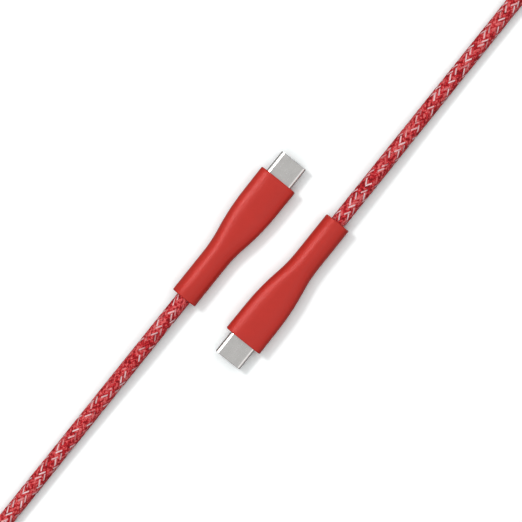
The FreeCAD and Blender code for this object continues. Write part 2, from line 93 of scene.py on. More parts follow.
# Lamps, up to 1 m away, and their sizes; the window is a bright patch seen only in the gloss
KEY_FROM, KEY_SIZE = (-0.447, 0.359, 0.819), (0.17, 0.17)
STRIP_FROM, STRIP_SIZE = (0.54, -0.433, 0.40), (0.24, 0.30)
WINDOW_FROM = (-0.501, 0.402, 0.766)
WINDOW_EDGE = (0.955, 0.985)  # cosines of the angles where it starts and where it is full

# The sky's brightness by its height, the sine of the angle over the horizon
LIGHTING_SKY = (
    (0.0, 0.10), (0.35, 0.08), (0.70, 0.18), (0.82, 1.38),
    (0.90, 1.70), (0.955, 1.38), (0.985, 0.55), (1.0, 0.42),
)
MIRRORED_SKY = (
    (0.0, 0.30), (0.12, 1.10), (0.58, 1.20), (0.74, 0.70), (0.90, 0.60), (1.0, 0.56),
)
WHITE = (1, 1, 1, 1)

CORD_MAP = "Braid"  # U once round the cord, V along it in metres
OVER_AND_UNDER = 4.0  # strands crossed before the weave repeats: over two, under two
ACROSS_X = Matrix(((0, 0, 1, 0), (1, 0, 0, 0), (0, 1, 0, 0), (0, 0, 0, 1)))
NEAR = 1e-6


# Settings

class CordSettings(bpy.types.PropertyGroup):
    diameter: bpy.props.FloatProperty(
        name="Diameter", description="Across the braided sleeve",
        default=0.0043, unit="LENGTH", precision=5)
    length: bpy.props.FloatProperty(
        name="Length", description="Cord between the two boots",
        default=0.926, unit="LENGTH", precision=4)
    strands: bpy.props.IntProperty(
        name="Strands each way", description="Strands that wind the same way round the sleeve",
        default=12)
    lay: bpy.props.FloatProperty(
        name="Lay", description="Length in which a strand goes once round",
        default=0.0216, unit="LENGTH", precision=5)
    yarns: bpy.props.IntProperty(
        name="Yarns in a strand", description="Yarns that lie side by side in one strand",
        default=5)
    tracer_every: bpy.props.IntProperty(
        name="Tracer every", description="One strand in so many carries a pair of pale yarns",
        default=4)
    relief: bpy.props.FloatProperty(
        name="Relief", description="How far a strand stands up over the gaps",
        default=0.00011, unit="LENGTH", precision=6)
    sides: bpy.props.IntProperty(
        name="Points round", description="Mesh points round the cord, a multiple of the strands",
        default=48)
    yarn: bpy.props.FloatVectorProperty(
        name="Yarn", description="Colour of the main yarn",
        default=(0.80, 0.020, 0.030), subtype="COLOR")
    yarn_light: bpy.props.FloatVectorProperty(
        name="Light yarn", description="Colour where the main yarn is lightest",
        default=(1.0, 0.21, 0.21), subtype="COLOR")
    # Painted shade: a dark colour put where the yarns meet and where the strands dip under, in
    # place of the shadow deep in the weave
    gap: bpy.props.FloatVectorProperty(
        name="Gap", description="Colour deep between the strands",
        default=(0.07, 0.003, 0.007), subtype="COLOR")
    fleck: bpy.props.FloatVectorProperty(
        name="Fleck yarn", description="Colour of the pale yarns",
        default=(1.0, 0.74, 0.76), subtype="COLOR")


class BootSettings(bpy.types.PropertyGroup):
    length: bpy.props.FloatProperty(
        name="Length", description="Front face to rear face",
        default=0.041, unit="LENGTH", precision=4)
    front_width: bpy.props.FloatProperty(
        name="Front width", description="Across the front face",
        default=0.0115, unit="LENGTH", precision=5)
    shoulder_width: bpy.props.FloatProperty(
        name="Shoulder width", description="Across the boot where it starts to draw in",
        default=0.01135, unit="LENGTH", precision=5)
    rear_width: bpy.props.FloatProperty(
        name="Rear width", description="Across the slim part",
        default=0.0076, unit="LENGTH", precision=5)
    height: bpy.props.FloatProperty(
        name="Height", description="Thickness of the boot",
        default=0.0064, unit="LENGTH", precision=5)
    front_run: bpy.props.FloatProperty(
        name="Shoulder at", description="From the front face to where the boot starts to draw in",
        default=0.0077, unit="LENGTH", precision=5)
    waist_at: bpy.props.FloatProperty(
        name="Waist at", description="From the front face to where the bulge meets the hollow",
        default=0.0204, unit="LENGTH", precision=5)
    neck_at: bpy.props.FloatProperty(
        name="Neck at", description="From the front face to where the slim part starts",
        default=0.0280, unit="LENGTH", precision=5)
    squareness: bpy.props.FloatProperty(
        name="Squareness",
        description="Of the front's section: 2 gives an oval, more gives flatter sides",
        default=2.6)
    rear_squareness: bpy.props.FloatProperty(
        name="Rear squareness", description="The same for the slim part's section",
        default=2.0)
    face_break: bpy.props.FloatProperty(
        name="Face break", description="Radius round the front face",
        default=0.00032, unit="LENGTH", precision=5)
    rear_break: bpy.props.FloatProperty(
        name="Rear break", description="Radius round the rear face",
        default=0.00028, unit="LENGTH", precision=5)
    nose_gap: bpy.props.FloatProperty(
        name="Nose gap", description="Gap round the shell in the front face",
        default=0.00009, unit="LENGTH", precision=6)
    colour: bpy.props.FloatVectorProperty(
        name="Colour", description="Soft-touch red of the boots",
        default=(0.56, 0.027, 0.017), subtype="COLOR")


class MetalSettings(bpy.types.PropertyGroup):
    steel: bpy.props.FloatVectorProperty(
        name="Plug steel", description="Nickel-plated steel of the noses",
        default=(0.76, 0.745, 0.725), subtype="COLOR")
    gold: bpy.props.FloatVectorProperty(
        name="Contact gold", description="Plating of the contacts",
        default=(0.86, 0.60, 0.24), subtype="COLOR")


class StageSettings(bpy.types.PropertyGroup):
    view_width: bpy.props.FloatProperty(
        name="View width", description="Width that the camera sees",
        default=0.1407, unit="LENGTH", precision=4)
    view_x: bpy.props.FloatProperty(
        name="View centre X", description="Centre of the view",
        default=0.00007, unit="LENGTH", precision=5)
    view_y: bpy.props.FloatProperty(
        name="View centre Y", description="Centre of the view",
        default=-0.00019, unit="LENGTH", precision=5)
    lens: bpy.props.FloatProperty(
        name="Lens", description="Focal length in millimetres",
        default=200.0)
    sky: bpy.props.FloatProperty(
        name="Overhead strength", description="Soft light from above, with little near the horizon",
        default=1.0)
    key_power: bpy.props.FloatProperty(
        name="Key power", description="Lamp at the upper left, in watts",
        default=3.2)
    window: bpy.props.FloatProperty(
        name="Window strength", description="Soft window at the upper left, seen in the gloss",
        default=9.0)
    strip_power: bpy.props.FloatProperty(
        name="Strip power", description="Low soft lamp at the lower right, in watts",
        default=0.05)


# Small helpers

class Tree:
    """A node tree, with short ways to add nodes to it."""

    def __init__(self, tree):
        self.tree = tree
        tree.nodes.clear()

    def add(self, kind):
        node = self.tree.nodes.new(kind)
        node.location = (-220 * len(self.tree.nodes), 0)
        return node

    def link(self, start, end):
        self.tree.links.new(start, end)

    def put(self, socket, value):
        """Link the socket if the value is a socket too, or else set it."""
        if isinstance(value, bpy.types.NodeSocket):
            self.link(value, socket)
        else:
            socket.default_value = value

    def wire(self, kind, *values):
        """Add a node and give its first inputs these values."""
        node = self.add(kind)
        for socket, value in zip(node.inputs, values):
            self.put(socket, value)
        return node

    def math(self, operation, *values):
        node = self.wire("ShaderNodeMath", *values)
        node.operation = operation
        return node.outputs[0]

    def product(self, first, *others):
        for other in others:
            first = self.math("MULTIPLY", first, other)
        return first

    def weigh(self, *terms):
        """The sum of values, each given after its weight."""
        (weight, value), *others = terms
        total = self.math("MULTIPLY", value, weight)
        for weight, value in others:
            total = self.math("MULTIPLY_ADD", value, weight, total)
        return total

    def wrap(self, value, length):
        return self.math("FLOORED_MODULO", value, length)

    def span(self, value, low, high, to_low=0.0, to_high=1.0):
        """From one value at the low end to another at the high end, with soft ends."""
        node = self.wire("ShaderNodeMapRange", value, low, high, to_low, to_high)
        node.interpolation_type = "SMOOTHSTEP"
        return node.outputs[0]

    def ramp(self, value, stops):
        node = self.wire("ShaderNodeValToRGB", value)
        while len(node.color_ramp.elements) < len(stops):
            node.color_ramp.elements.new(0.5)
        for element, (at, colour) in zip(node.color_ramp.elements, stops):
            element.position = at
            element.color = (*colour, 1)
        return node.outputs["Color"]


class Finish(Tree):
    """A material, with its surface shader wired to the output."""

    def __init__(self, name):
        self.material = bpy.data.materials.new(name)
        self.material.use_nodes = True
        super().__init__(self.material.node_tree)
        self.shader = self.add("ShaderNodeBsdfPrincipled")
        self.output = self.add("ShaderNodeOutputMaterial")
        self.link(self.shader.outputs[0], self.output.inputs["Surface"])

    def surface(self, settings):
        for name, value in settings.items():
            self.put(self.shader.inputs[name], value)

    def place(self, stretch=(1, 1, 1), turn=0.0):
        where = self.add("ShaderNodeTexCoord")
        mapping = self.add("ShaderNodeMapping")
        mapping.vector_type = "TEXTURE"
        mapping.inputs["Rotation"].default_value = (0, 0, turn)
        mapping.inputs["Scale"].default_value = stretch
        self.link(where.outputs["Object"], mapping.inputs["Vector"])
        return mapping.outputs[0]

    def noise(self, where, scale, detail, roughness):
        node = self.add("ShaderNodeTexNoise")
        node.inputs["Scale"].default_value = scale
        node.inputs["Detail"].default_value = detail
        node.inputs["Roughness"].default_value = roughness
        self.link(where, node.inputs["Vector"])
        return node.outputs["Fac"]

    def mix(self, share, first, second):
        """Mixed colours: the node's inputs 6 and 7 and its output 2 are the ones for colours."""
        node = self.add("ShaderNodeMix")
        node.data_type = "RGBA"
        self.put(node.inputs[0], share)
        for socket, colour in zip(node.inputs[6:8], (first, second)):
            self.put(socket, colour if isinstance(colour, bpy.types.NodeSocket) else (*colour, 1))
        return node.outputs[2]

    def bump(self, height, strength, distance):
        node = self.add("ShaderNodeBump")
        node.inputs["Strength"].default_value = strength
        node.inputs["Distance"].default_value = distance
        self.link(height, node.inputs["Height"])
        self.link(node.outputs[0], self.shader.inputs["Normal"])


def tint(colour, share):
    return tuple(min(1.0, c * share) for c in colour)


def two_tones(colour, darker, lighter, low=0.3, high=0.7):
    """A ramp's stops for a cloudy colour."""
    return ((low, tint(colour, darker)), (high, tint(colour, lighter)))


def dress(node_name, material):
    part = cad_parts[node_name]
    part.data.materials.clear()
    part.data.materials.append(material)


def new_piece(name, shape):
    mesh = bpy.data.meshes.new(name)
    shape.to_mesh(mesh)
    shape.free()
    piece = bpy.data.objects.new(name, mesh)
    bpy.context.scene.collection.objects.link(piece)
    return piece


def smooth_by_angle(shape, degrees):
    limit = math.radians(degrees)
    for face in shape.faces:
        face.smooth = True
    for edge in shape.edges:
        edge.smooth = len(edge.link_faces) == 2 and edge.calc_face_angle(0.0) < limit


def way_ahead():
    """The direction in which plug A's nose points."""
    return Vector((math.cos(HEADING), math.sin(HEADING), 0))


# Stage: camera, floor, lamps and world

class CABLE_OT_set_stage(bpy.types.Operator):
    """Set the camera straight above the plugs, the pale floor and the lamps"""
    bl_idname = "cable.set_stage"
    bl_label = "Set stage"

    def execute(self, context):
        scene = context.scene
        stage = scene.cable_stage
        scene.view_settings.view_transform = "Standard"
        self.camera(scene, stage)

        shape = bmesh.new()
        bmesh.ops.create_grid(shape, x_segments=1, y_segments=1, size=1.5)
        floor = new_piece("floor", shape)
        floor.data.materials.append(self.floor_material())

        self.lamp(scene, "key", KEY_FROM, KEY_SIZE, stage.key_power)
        self.lamp(scene, "strip", STRIP_FROM, STRIP_SIZE, stage.strip_power)
        scene.world = self.world(stage)
        return {"FINISHED"}

    def camera(self, scene, stage):
        sensor = 36
        level = 0.0058  # where the view is as wide as the setting says
        camera = bpy.data.cameras.new("camera")
        camera.lens = stage.lens
        camera.sensor_width = sensor
        camera.sensor_fit = "HORIZONTAL"
        camera.clip_start = 0.01
        camera.clip_end = 20
        holder = bpy.data.objects.new("camera", camera)
        away = stage.lens * stage.view_width / sensor
        holder.location = (stage.view_x, stage.view_y, away + level)
        scene.collection.objects.link(holder)
        scene.camera = holder

    def lamp(self, scene, name, at, size, power):
        """A soft lamp that points at the plugs and isn't mirrored in the gloss."""
        light = bpy.data.lights.new(name, "AREA")
        light.shape = "RECTANGLE"
        light.size, light.size_y = size
        light.energy = power
        holder = bpy.data.objects.new(name, light)
        holder.location = at
        holder.rotation_euler = (-Vector(at)).to_track_quat("-Z", "Y").to_euler()
        holder.visible_glossy = False
        scene.collection.objects.link(holder)

    def world(self, stage):
        """White to the camera, with one sky that gives light and another for the gloss."""
        world = bpy.data.worlds.new("studio")
        world.use_nodes = True
        made = Tree(world.node_tree)
        where = made.add("ShaderNodeTexCoord").outputs["Generated"]
        height = made.wire("ShaderNodeSeparateXYZ", where).outputs["Z"]

        def glow(colour, strength):
            return made.wire("ShaderNodeBackground", colour, strength).outputs[0]

        def sky(stops):
            return glow(made.ramp(height, [(at, (light,) * 3) for at, light in stops]), stage.sky)

        toward = made.wire("ShaderNodeVectorMath", where, WINDOW_FROM)
        toward.operation = "DOT_PRODUCT"
        window = glow(
            WHITE, made.span(toward.outputs["Value"], *WINDOW_EDGE, to_high=stage.window))
        gloss = made.wire("ShaderNodeAddShader", sky(MIRRORED_SKY), window)
        ray = made.add("ShaderNodeLightPath")
        lit = made.wire(
            "ShaderNodeMixShader", ray.outputs["Is Glossy Ray"], sky(LIGHTING_SKY),
            gloss.outputs[0])
        seen = made.wire(
            "ShaderNodeMixShader", ray.outputs["Is Camera Ray"], lit.outputs[0], glow(WHITE, 1.0))
        made.wire("ShaderNodeOutputWorld", seen.outputs[0])
        return world

    def floor_material(self):
        """White to the camera where it is lit, with the shadows; grey to the light that bounces."""
        made = Finish("pale_floor")
        made.surface({
            "Base Color": (0.28, 0.28, 0.28, 1),
            "Roughness": 0.9,
            "Specular IOR Level": 0.0,
        })
        # Two colours that together go past 1, so that the lit floor comes out white
        shade = made.wire("ShaderNodeBsdfDiffuse", (0.88, 0.90, 0.90, 1))
        more = made.wire("ShaderNodeBsdfDiffuse", (0.29, 0.31, 0.31, 1))
        pale = made.wire("ShaderNodeAddShader", shade.outputs[0], more.outputs[0])
        mirrored_share = 0.05
        ray = made.add("ShaderNodeLightPath")
        mirrored = made.math("MULTIPLY", ray.outputs["Is Glossy Ray"], mirrored_share)
        seen = made.math("MAXIMUM", ray.outputs["Is Camera Ray"], mirrored)
        pick = made.wire(
            "ShaderNodeMixShader", seen, made.shader.outputs[0], pale.outputs[0])
        made.link(pick.outputs[0], made.output.inputs["Surface"])
        return made.material


# Cord

def cord_route():
    """The cord's control points from boot A to boot B."""
    way_in, way_out = coil_heading(0.0), coil_heading(COIL_TURNS)
    coil_start = coil_point(0.0) - way_in * COIL_LEAD
    coil_end = coil_point(COIL_TURNS) + way_out * COIL_LEAD
    down = coil_end + way_out * COIL_DOWN
    count = int(round(COIL_TURNS * COIL_POINTS))

    route = straight_end(EXIT_A, -way_ahead(), STRAIGHT_A)
    route += [Vector((x, y, CORD_LEVEL)) for x, y in BENDS_A]
    route += [coil_start - way_in * COIL_ENTRY, coil_start]
    route += [coil_point(COIL_TURNS * k / count) for k in range(count + 1)]
    route += [coil_end, coil_end + way_out * COIL_EXIT, Vector((down.x, down.y, CORD_LEVEL))]
    route += [Vector((x, y, CORD_LEVEL)) for x, y in BENDS_B]
    route += reversed(straight_end(EXIT_B, way_ahead(), STRAIGHT_B))
    return route


def straight_end(leaves_at, way, straight_to):
    """Control points from a boot's rear face: level, down to the surface, and on to the bend."""
    points = []
    for run, level in (
            (0.0, AXIS_LEVEL), (LEVEL_RUN, AXIS_LEVEL), (DOWN_RUN, CORD_LEVEL),
            (straight_to, CORD_LEVEL), (BEND_RUN, CORD_LEVEL)):
        point = Vector(leaves_at) + way * run
        points.append(Vector((point.x, point.y, level)))
    return points


def coil_point(turn):
    """The coil's centreline after so many turns: in, over, and out again."""
    inner = COIL_RADIUS - COIL_PITCH * COIL_EACH_WAY
    past = turn - COIL_EACH_WAY
    share = min(max(past / COIL_REVERSING, 0.0), 1.0)
    if past <= 0:
        radius = COIL_RADIUS - COIL_PITCH * turn
    elif share < 1:
        radius = inner - COIL_PITCH * past * (1 - share)
    else:
        radius = inner + COIL_PITCH * (past - COIL_REVERSING)
    level = CORD_LEVEL + COIL_PITCH * share * share * (3 - 2 * share)
    angle = COIL_FROM + 2 * math.pi * turn
    return Vector((COIL_X + radius * math.cos(angle), COIL_Y + radius * math.sin(angle), level))


def coil_heading(turn):
    step = 1e-5
    return (coil_point(turn + step) - coil_point(turn - step)).normalized()


def follow(points):
    """Points close together on the smooth spline through the route's control points."""
    curve = bpy.data.curves.new("cord_line", "CURVE")
    curve.dimensions = "3D"
    curve.resolution_u = 48
    spline = curve.splines.new("NURBS")
    spline.points.add(len(points) - 1)
    for at, point in zip(spline.points, points):
        at.co = (*point, 1)
    spline.order_u = 3
    spline.use_endpoint_u = True
    holder = bpy.data.objects.new("cord_line", curve)
    bpy.context.scene.collection.objects.link(holder)
    bpy.context.view_layer.update()
    line = bpy.data.meshes.new_from_object(holder)
    found = np.array([v.co for v in line.vertices])
    bpy.data.objects.remove(holder)
    bpy.data.curves.remove(curve)
    bpy.data.meshes.remove(line)
    return found


def evenly(points, step):
    """The same line in steps of about one length, with how far along each point is."""
    run = np.concatenate([[0], np.cumsum(np.linalg.norm(np.diff(points, axis=0), axis=1))])
    count = int(round(run[-1] / step))
    along = np.linspace(0, run[-1], count + 1)
    return np.stack([np.interp(along, run, points[:, k]) for k in range(3)], axis=1), along


def braid_height(across_turn, along, cord):
    """From 0 in the gaps to 1 on the crowns: strands go over two and under two."""
    at_ends = 0.35  # height of a crown where its strand dips under
    x = across_turn * cord.strands
    y = along / cord.lay * cord.strands
    a = x + y
    b = x - y
    i = np.floor(a + NEAR)
    j = np.floor(b + NEAR)
    first_over = np.mod(i + j, OVER_AND_UNDER) < 2
    across = np.where(first_over, a - i, b - j)
    length_way = np.where(
        first_over, np.mod(i + b, OVER_AND_UNDER) / 2, (np.mod(j + a, OVER_AND_UNDER) - 2) / 2)
    crown = np.clip(1 - (2 * across - 1) ** 2, 0, 1) ** 0.5
    arch = np.clip(np.sin(np.pi * np.clip(length_way, 0, 1)), 0, 1) ** 0.5
    return crown * (at_ends + (1 - at_ends) * arch)


class CABLE_OT_lay_cord(bpy.types.Operator):
    """Lay the braided cord along its route, from one boot through the coil to the other"""
    bl_idname = "cable.lay_cord"
    bl_label = "Lay cord"

    def execute(self, context):
        cord = context.scene.cable_cord
        rings_a_crossing = 4
        step = cord.lay / cord.strands / rings_a_crossing
        points, along = evenly(follow(cord_route()), step)
        shape = self.tube(self.rings(points, along, cord), along, cord)
        piece = new_piece("braided_cord", shape)
        piece.data.materials.append(self.braid_material(cord))
        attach(piece, "root")
        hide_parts("cord_stretch_a", "cord_coil", "cord_stretch_b")
        return {"FINISHED"}

    def rings(self, points, along, cord):
        """The mesh points round the cord at each point of its line, with the braid's relief."""
        ways = np.gradient(points, axis=0)
        ways /= np.linalg.norm(ways, axis=1)[:, None]
        turns = np.arange(cord.sides) / cord.sides
        angle = 2 * np.pi * turns
        side = np.cross(ways[0], (0, 0, 1.0))
        side /= np.linalg.norm(side)
        rings = []
        for point, way, run in zip(points, ways, along):
            side = side - way * side.dot(way)
            side /= np.linalg.norm(side)
            up = np.cross(side, way)
            radius = cord.diameter / 2 - cord.relief * (1 - braid_height(turns, run, cord))
            spokes = np.outer(np.cos(angle), side) + np.outer(np.sin(angle), up)
            rings.append(point + radius[:, None] * spokes)
        return np.array(rings)

    def tube(self, rings, along, cord):
        """A grid rolled up on the rings, with the braid's map and one of its own for baking."""
        margin = 0.02  # of a row, on each side of it
        steps = len(along) - 1
        rows = max(1, round(math.sqrt(along[-1] / (math.pi * cord.diameter))))
        shape = bmesh.new()
        bmesh.ops.create_grid(shape, x_segments=cord.sides, y_segments=steps, size=0.5)
        braid = shape.loops.layers.uv.new(CORD_MAP)
        flat = shape.loops.layers.uv.new("OFBake")
        for face in shape.faces:
            row = min(rows - 1, int((face.calc_center_median().y + 0.5) * rows))
            for loop in face.loops:
                u, v = loop.vert.co.x + 0.5, loop.vert.co.y + 0.5
                loop[braid].uv = (u, v * along[-1])
                loop[flat].uv = (v * rows - row, (row + margin + (1 - 2 * margin) * u) / rows)
        for vert in shape.verts:
            side = round((vert.co.x + 0.5) * cord.sides) % cord.sides
            vert.co = rings[round((vert.co.y + 0.5) * steps)][side]
        bmesh.ops.remove_doubles(shape, verts=shape.verts, dist=1e-7)
        open_edges = [edge for edge in shape.edges if edge.is_boundary]
        bmesh.ops.holes_fill(shape, edges=open_edges, sides=0)
        bmesh.ops.recalc_face_normals(shape, faces=shape.faces)
        for face in shape.faces:
            face.smooth = len(face.verts) < 5
        return shape

    def weave(self, made, cord):
        """What lies on top at each point, by the same rule as braid_height.

        Gives the way across the strand (0 to 1), the way along it while it is on top (0 to 2),
        the strand's number, and the number of the place along it.
        """
        other_way = 40.0  # added to the numbers of the strands that wind the other way
        strands = float(cord.strands)
        where = made.add("ShaderNodeUVMap")
        where.uv_map = CORD_MAP
        parts = made.wire("ShaderNodeSeparateXYZ", where.outputs[0])
        x = made.product(parts.outputs["X"], cord.strands)
        y = made.product(parts.outputs["Y"], cord.strands / cord.lay)
        a = made.math("ADD", x, y)
        b = made.math("SUBTRACT", x, y)
        i = made.math("FLOOR", a)
        j = made.math("FLOOR", b)
        over = made.math("LESS_THAN", made.wrap(made.math("ADD", i, j), OVER_AND_UNDER), 2.0)

        def choose(first, second):
            return made.math("MULTIPLY_ADD", made.math("SUBTRACT", first, second), over, second)

        first_run = made.wrap(made.math("ADD", i, b), OVER_AND_UNDER)
        second_run = made.math("SUBTRACT", made.wrap(made.math("ADD", j, a), OVER_AND_UNDER), 2.0)
        first_place = made.math("ADD", made.math("SUBTRACT", i, b), first_run)
        second_place = made.math("SUBTRACT", made.math("SUBTRACT", a, j), second_run)
        across = choose(made.math("FRACT", a), made.math("FRACT", b))
        run = choose(first_run, second_run)
        strand = choose(
            made.wrap(i, strands), made.math("ADD", made.wrap(j, strands), other_way))
        place = made.math("ROUND", choose(first_place, second_place))
        return across, run, strand, place

    def braid_material(self, cord):
        """Red yarns, a few to each strand, with pale yarns that show here and there as stitches."""
        made = Finish("braided_sleeve")
        across, run, strand, place = self.weave(made, cord)
        yarns = float(cord.yarns)
        by_yarn = made.product(across, yarns)
        yarn_here = made.math("FLOOR", by_yarn)
        yarn = made.math("MULTIPLY_ADD", strand, yarns, yarn_here)
        crown = made.math("SINE", made.product(made.math("FRACT", by_yarn), math.pi))
        arch = made.math("SINE", made.product(run, math.pi / 2))
        strand_crown = made.math("SINE", made.product(across, math.pi))

        def chance(first, second, draw):
            """A number from 0 to 1 for each pair of numbers; the draw tells the uses apart."""
            joined = made.wire("ShaderNodeCombineXYZ", first, second, draw)
            node = made.wire("ShaderNodeTexWhiteNoise", joined.outputs[0])
            node.noise_dimensions = "3D"
            return node.outputs["Value"]

        # Two yarns side by side are pale in one strand of so many, and fainter in the next one
        fainter = 0.75
        turn = made.wrap(strand, float(cord.tracer_every))
        beside = made.product(made.math("COMPARE", turn, 1.0, 0.5), fainter)
        has_pair = made.math("MAXIMUM", made.math("LESS_THAN", turn, 0.5), beside)
        first_of_pair = made.math("FLOOR", made.product(chance(strand, 1.5, 5.5), yarns - 1))
        in_pair = made.math("COMPARE", made.math("ADD", first_of_pair, 0.5), yarn_here, 0.6)

        # They show in clusters, at some places on top and not at others
        clustering, rarity = 1.6, 0.66
        where = made.place()
        cluster = made.noise(where, scale=150.0, detail=1.0, roughness=0.5)
        shown = made.math(
            "MULTIPLY_ADD", cluster, clustering,
            made.math("SUBTRACT", chance(strand, place, 2.5), rarity))
        stitch = made.product(made.span(arch, 0.02, 0.24), made.span(crown, 0.0, 0.10, 0.60))
        fleck = made.product(
            made.product(has_pair, in_pair, made.span(shown, 0.20, 0.70)), stitch)

        # The red goes from dark to light by yarn, by place and by fine noise
        cloudy = made.noise(where, scale=1300.0, detail=2.0, roughness=0.6)
        fibres = made.noise(where, scale=5200.0, detail=2.0, roughness=0.6)
        base = 1.60  # taken off, so that most of what the terms come to lies on the ramp
        lift = made.weigh(
            (2.8, cloudy), (0.60, chance(yarn, place, 9.5)), (0.35, chance(strand, place, 6.5)))
        lift = made.math("MULTIPLY_ADD", fibres, 0.50, made.math("SUBTRACT", lift, base))
        darkest = tint(cord.yarn, 0.34)
        red = made.ramp(
            lift, ((0.0, darkest), (0.48, tuple(cord.yarn)), (1.0, tuple(cord.yarn_light))))
        # Painted shade: the red darkens to the gap colour at the edges of each yarn and at the ends
        # of each stitch, where the weave's shadow falls
        depth = made.product(made.span(crown, 0.0, 0.50, 0.25), made.span(arch, 0.0, 0.30, 0.40))
        red_with_painted_shade = made.mix(depth, tuple(cord.gap), red)
        made.surface({
            "Base Color": made.mix(fleck, red_with_painted_shade, tuple(cord.fleck)),
            "Roughness": 0.72,
            "Specular IOR Level": 0.25,
            "Sheen Weight": 0.02,
            "Sheen Roughness": 0.4,
            "Sheen Tint": (1.0, 0.55, 0.55, 1),
        })
        height = made.weigh((0.25, arch), (0.55, crown), (0.25, strand_crown), (0.30, fibres))
        made.bump(height, strength=0.9, distance=0.00012)
        return made.material


# Boots

def plug_places():
    """For each plug, the matrix from its own frame, nose along X from the boot's front face."""
    ahead = way_ahead()
    beside = Vector((math.sin(HEADING), -math.cos(HEADING), 0))
    over = Vector((0, 0, AXIS_LEVEL))
    face_a = ahead * FACE_AHEAD - beside * FACE_ASIDE + over
    face_b = ahead * -FACE_AHEAD + beside * FACE_ASIDE + over
    return {"a": plug_frame(face_a, ahead), "b": plug_frame(face_b, -ahead)}


def plug_frame(origin, ahead):
    up = Vector((0, 0, 1))
    turn = Matrix((ahead, up.cross(ahead), up)).transposed().to_4x4()
    return Matrix.Translation(origin) @ turn


def ring_of(face):
    return [loop.vert for loop in face.loops]


def lies_at(part, x):
    return all(abs(vert.co.x - x) < NEAR for vert in part.verts)


def drawn_out(shape, face):
    """The far face after a face is extruded. A face that stood alone stays as the near one."""
    grown = bmesh.ops.extrude_face_region(shape, geom=[face, *face.edges, *face.verts])["geom"]
    return next(part for part in grown if isinstance(part, bmesh.types.BMFace))


